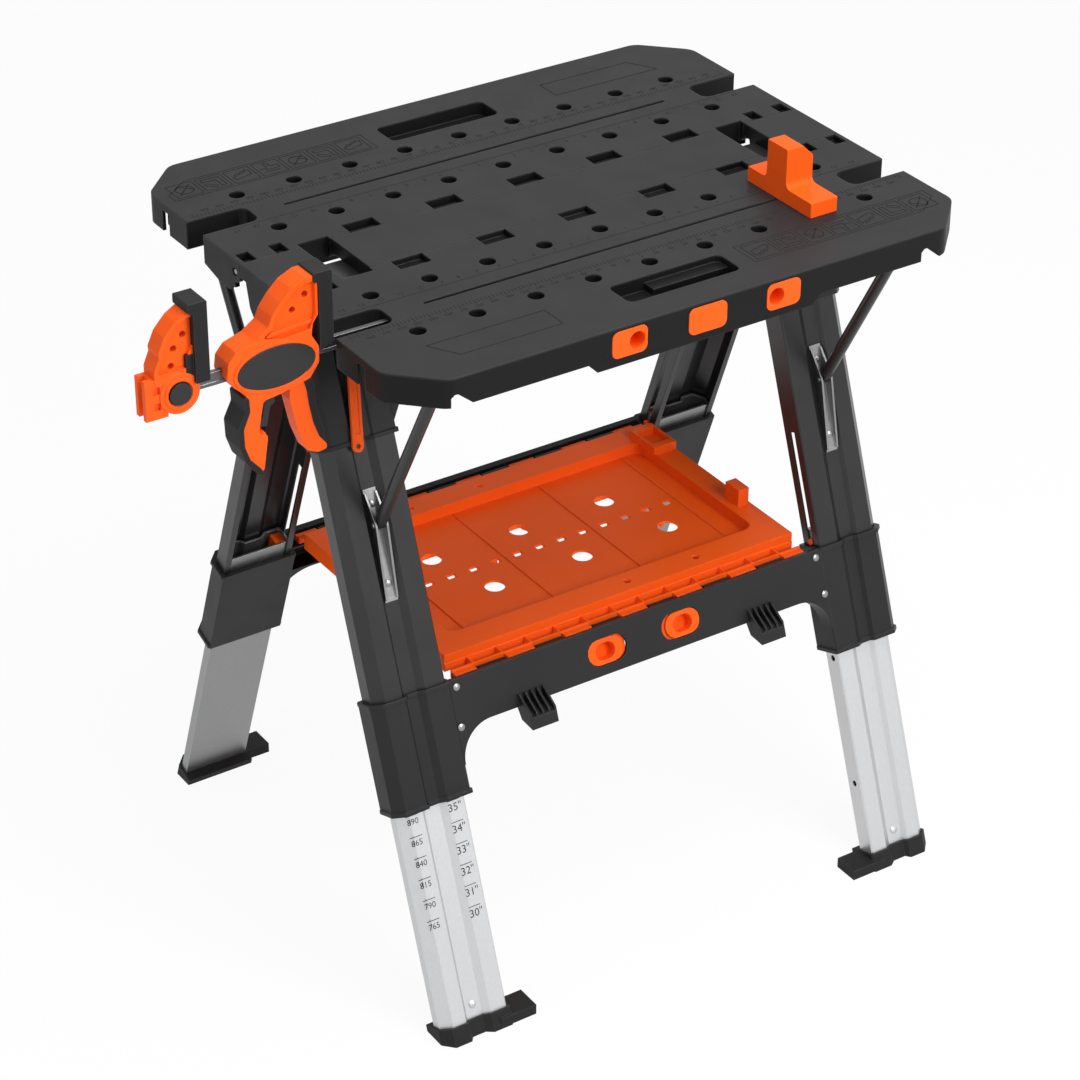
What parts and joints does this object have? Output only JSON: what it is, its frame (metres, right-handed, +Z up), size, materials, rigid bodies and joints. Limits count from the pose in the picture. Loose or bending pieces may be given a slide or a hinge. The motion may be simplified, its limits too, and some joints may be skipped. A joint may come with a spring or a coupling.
{
  "type": "folding workbench",
  "caption": "Folding workbench: two hinged ribbed top panels round a fixed centre strip, telescopic A-frame legs, drop-in shelf tray, folding struts, bar clamp and bench dog.",
  "frame": {"origin": "centre of the overall box on the floor; the clamp sticks out at -X, so the worktop itself is centred at X = +0.11465", "axes": "+X right along the worktop, +Y away from the front panel, +Z up"},
  "size_m": [1.0168, 0.6944, 0.978],
  "materials": {
    "moulded_plastic": "fine moulded grain, charcoal",
    "black_plastic": "fine moulded grain, black",
    "orange_plastic": "satin orange moulding",
    "leg_paint": "satin black powder coat",
    "aluminium": "lengthwise drawn",
    "steel": "zinc plated",
    "rubber": "matt, soft"
  },
  "bodies": {
    "centre": {"centre_panel": "moulded_plastic", "end_block_left": "moulded_plastic", "end_block_right": "moulded_plastic", "spine_channel": "leg_paint", "hinge_rods": "steel", "leg_pivot_pins": "steel"},
    "front_top": {"front_panel": "moulded_plastic", "front_edge_sockets": "orange_plastic", "front_strut_pins": "steel"},
    "front_push": {"front_push_button": "orange_plastic"},
    "rear_top": {"rear_panel": "moulded_plastic", "rear_edge_sockets": "orange_plastic", "rear_strut_pins": "steel"},
    "rear_push": {"rear_push_button": "orange_plastic"},
    "strut_fl": {"strut_front_left": "leg_paint"},
    "strut_fr": {"strut_front_right": "leg_paint"},
    "strut_rl": {"strut_rear_left": "leg_paint"},
    "strut_rr": {"strut_rear_right": "leg_paint"},
    "front_legs": {"upper_leg_front_left": "leg_paint", "upper_leg_front_right": "leg_paint", "front_leg_heads": "moulded_plastic", "front_crossbeam": "moulded_plastic", "front_strut_brackets": "steel", "front_leg_fasteners": "steel", "tray_rest_rod": "steel"},
    "rear_legs": {"upper_leg_rear_left": "leg_paint", "upper_leg_rear_right": "leg_paint", "rear_leg_heads": "moulded_plastic", "rear_crossbeam": "moulded_plastic", "rear_strut_brackets": "steel", "rear_leg_fasteners": "steel", "tray_hinge_rod": "steel"},
    "latch_left": {"tray_latch_left": "orange_plastic"},
    "latch_right": {"tray_latch_right": "orange_plastic"},
    "tray": {"tray": "orange_plastic"},
    "carry_link": {"carry_link": "orange_plastic"},
    "bench_dog": {"bench_dog": "orange_plastic"},
    "clamp_rail": {"clamp_bar": "steel", "clamp_end_jaw": "orange_plastic", "clamp_end_pad": "rubber"},
    "clamp_end_button": {"clamp_end_button": "black_plastic"},
    "clamp_slider": {"clamp_body": "orange_plastic", "clamp_cover": "black_plastic", "clamp_grip": "rubber", "clamp_jaw_pad": "rubber"},
    "clamp_trigger": {"clamp_trigger": "orange_plastic"},
    "clamp_release": {"clamp_release": "black_plastic"},
    "foot_front_left": {"foot_tube_front_left": "aluminium", "foot_pad_front_left": "rubber"},
    "lock_front_left": {"foot_lock_front_left": "orange_plastic"},
    "foot_front_right": {"foot_tube_front_right": "aluminium", "foot_pad_front_right": "rubber"},
    "lock_front_right": {"foot_lock_front_right": "orange_plastic"},
    "foot_rear_left": {"foot_tube_rear_left": "aluminium", "foot_pad_rear_left": "rubber"},
    "lock_rear_left": {"foot_lock_rear_left": "orange_plastic"},
    "foot_rear_right": {"foot_tube_rear_right": "aluminium", "foot_pad_rear_right": "rubber"},
    "lock_rear_right": {"foot_lock_rear_right": "orange_plastic"}
  },
  "joints": [
    {"name": "front_top_fold", "type": "hinge", "parent": "centre", "child": "front_top", "pos_m": [0.11465, -0.057, 0.874], "axis": [1, 0, 0], "range_deg": [0, 64]},
    {"name": "rear_top_fold", "type": "hinge", "parent": "centre", "child": "rear_top", "pos_m": [0.11465, 0.057, 0.874], "axis": [-1, 0, 0], "range_deg": [0, 64]},
    {"name": "strut_fl_swing", "type": "hinge", "parent": "front_top", "child": "strut_fl", "pos_m": [-0.20685, -0.2614, 0.848], "axis": [-1, 0, 0], "range_deg": [0, 114]},
    {"name": "strut_fr_swing", "type": "hinge", "parent": "front_top", "child": "strut_fr", "pos_m": [0.43615, -0.2614, 0.848], "axis": [-1, 0, 0], "range_deg": [0, 114]},
    {"name": "strut_rl_swing", "type": "hinge", "parent": "rear_top", "child": "strut_rl", "pos_m": [-0.20685, 0.2614, 0.848], "axis": [1, 0, 0], "range_deg": [0, 114]},
    {"name": "strut_rr_swing", "type": "hinge", "parent": "rear_top", "child": "strut_rr", "pos_m": [0.43615, 0.2614, 0.848], "axis": [1, 0, 0], "range_deg": [0, 114]},
    {"name": "front_legs_fold", "type": "hinge", "parent": "centre", "child": "front_legs", "pos_m": [0.11465, -0.015, 0.842], "axis": [1, 0, 0], "range_deg": [0, 19.5]},
    {"name": "rear_legs_fold", "type": "hinge", "parent": "centre", "child": "rear_legs", "pos_m": [0.11465, 0.015, 0.842], "axis": [-1, 0, 0], "range_deg": [0, 19.6]},
    {"name": "tray_fold", "type": "hinge", "parent": "rear_legs", "child": "tray", "pos_m": [0.11465, 0.18845, 0.40552], "axis": [-1, 0, 0], "range_deg": [0, 70.6]},
    {"name": "foot_front_left_slide", "type": "slide", "parent": "front_legs", "child": "foot_front_left", "axis": [0, 0.342, 0.9397], "range_m": [0, 0.135]},
    {"name": "lock_front_left_press", "type": "slide", "parent": "foot_front_left", "child": "lock_front_left", "axis": [-1, 0, 0], "range_m": [0, 0.0046], "stiffness_N_per_m": 900},
    {"name": "foot_front_right_slide", "type": "slide", "parent": "front_legs", "child": "foot_front_right", "axis": [0, 0.342, 0.9397], "range_m": [0, 0.135]},
    {"name": "lock_front_right_press", "type": "slide", "parent": "foot_front_right", "child": "lock_front_right", "axis": [1, 0, 0], "range_m": [0, 0.0046], "stiffness_N_per_m": 900},
    {"name": "foot_rear_left_slide", "type": "slide", "parent": "rear_legs", "child": "foot_rear_left", "axis": [0, -0.342, 0.9397], "range_m": [0, 0.135]},
    {"name": "lock_rear_left_press", "type": "slide", "parent": "foot_rear_left", "child": "lock_rear_left", "axis": [-1, 0, 0], "range_m": [0, 0.0046], "stiffness_N_per_m": 900},
    {"name": "foot_rear_right_slide", "type": "slide", "parent": "rear_legs", "child": "foot_rear_right", "axis": [0, -0.342, 0.9397], "range_m": [0, 0.135]},
    {"name": "lock_rear_right_press", "type": "slide", "parent": "foot_rear_right", "child": "lock_rear_right", "axis": [1, 0, 0], "range_m": [0, 0.0046], "stiffness_N_per_m": 900},
    {"name": "front_push_press", "type": "slide", "parent": "front_top", "child": "front_push", "axis": [0, 1, 0], "range_m": [0, 0.004], "stiffness_N_per_m": 900},
    {"name": "rear_push_press", "type": "slide", "parent": "rear_top", "child": "rear_push", "axis": [0, -1, 0], "range_m": [0, 0.004], "stiffness_N_per_m": 900},
    {"name": "latch_left_slide", "type": "slide", "parent": "front_legs", "child": "latch_left", "axis": [1, 0, 0], "range_m": [0, 0.006], "stiffness_N_per_m": 700},
    {"name": "latch_right_slide", "type": "slide", "parent": "front_legs", "child": "latch_right", "axis": [-1, 0, 0], "range_m": [0, 0.006], "stiffness_N_per_m": 700},
    {"name": "carry_link_swing", "type": "hinge", "parent": "front_legs", "child": "carry_link", "pos_m": [-0.20135, -0.06824, 0.78637], "axis": [0, -0.9397, 0.342], "range_deg": [-25, 25]},
    {"name": "bench_dog_lift", "type": "slide", "parent": "front_top", "child": "bench_dog", "axis": [0, 0, 1], "range_m": [0, 0.06]},
    {"name": "clamp_rail_slide", "type": "slide", "parent": "front_top", "child": "clamp_rail", "axis": [-1, 0, 0], "range_m": [0, 0.2]},
    {"name": "clamp_body_slide", "type": "slide", "parent": "clamp_rail", "child": "clamp_slider", "axis": [1, 0, 0], "range_m": [-0.016, 0.066]},
    {"name": "clamp_end_button_press", "type": "slide", "parent": "clamp_rail", "child": "clamp_end_button", "axis": [0, 1, 0], "range_m": [0, 0.0025], "stiffness_N_per_m": 900},
    {"name": "clamp_trigger_squeeze", "type": "hinge", "parent": "clamp_slider", "child": "clamp_trigger", "pos_m": [-0.32335, -0.1511, 0.853], "axis": [0, 1, 0], "range_deg": [0, 12], "stiffness_Nm_per_rad": 1.2},
    {"name": "clamp_release_squeeze", "type": "hinge", "parent": "clamp_slider", "child": "clamp_release", "pos_m": [-0.35535, -0.1511, 0.845], "axis": [0, 1, 0], "range_deg": [0, 10], "stiffness_Nm_per_rad": 0.6}
  ],
  "couplings": [
    {"joint": "strut_fl_swing", "follows": "front_top_fold", "ratio": 1.775},
    {"joint": "strut_fr_swing", "follows": "front_top_fold", "ratio": 1.775},
    {"joint": "strut_rl_swing", "follows": "rear_top_fold", "ratio": 1.775},
    {"joint": "strut_rr_swing", "follows": "rear_top_fold", "ratio": 1.775},
    {"joint": "rear_legs_fold", "follows": "front_legs_fold", "ratio": 1},
    {"joint": "tray_fold", "follows": "front_legs_fold", "ratio": 3.615}
  ]
}
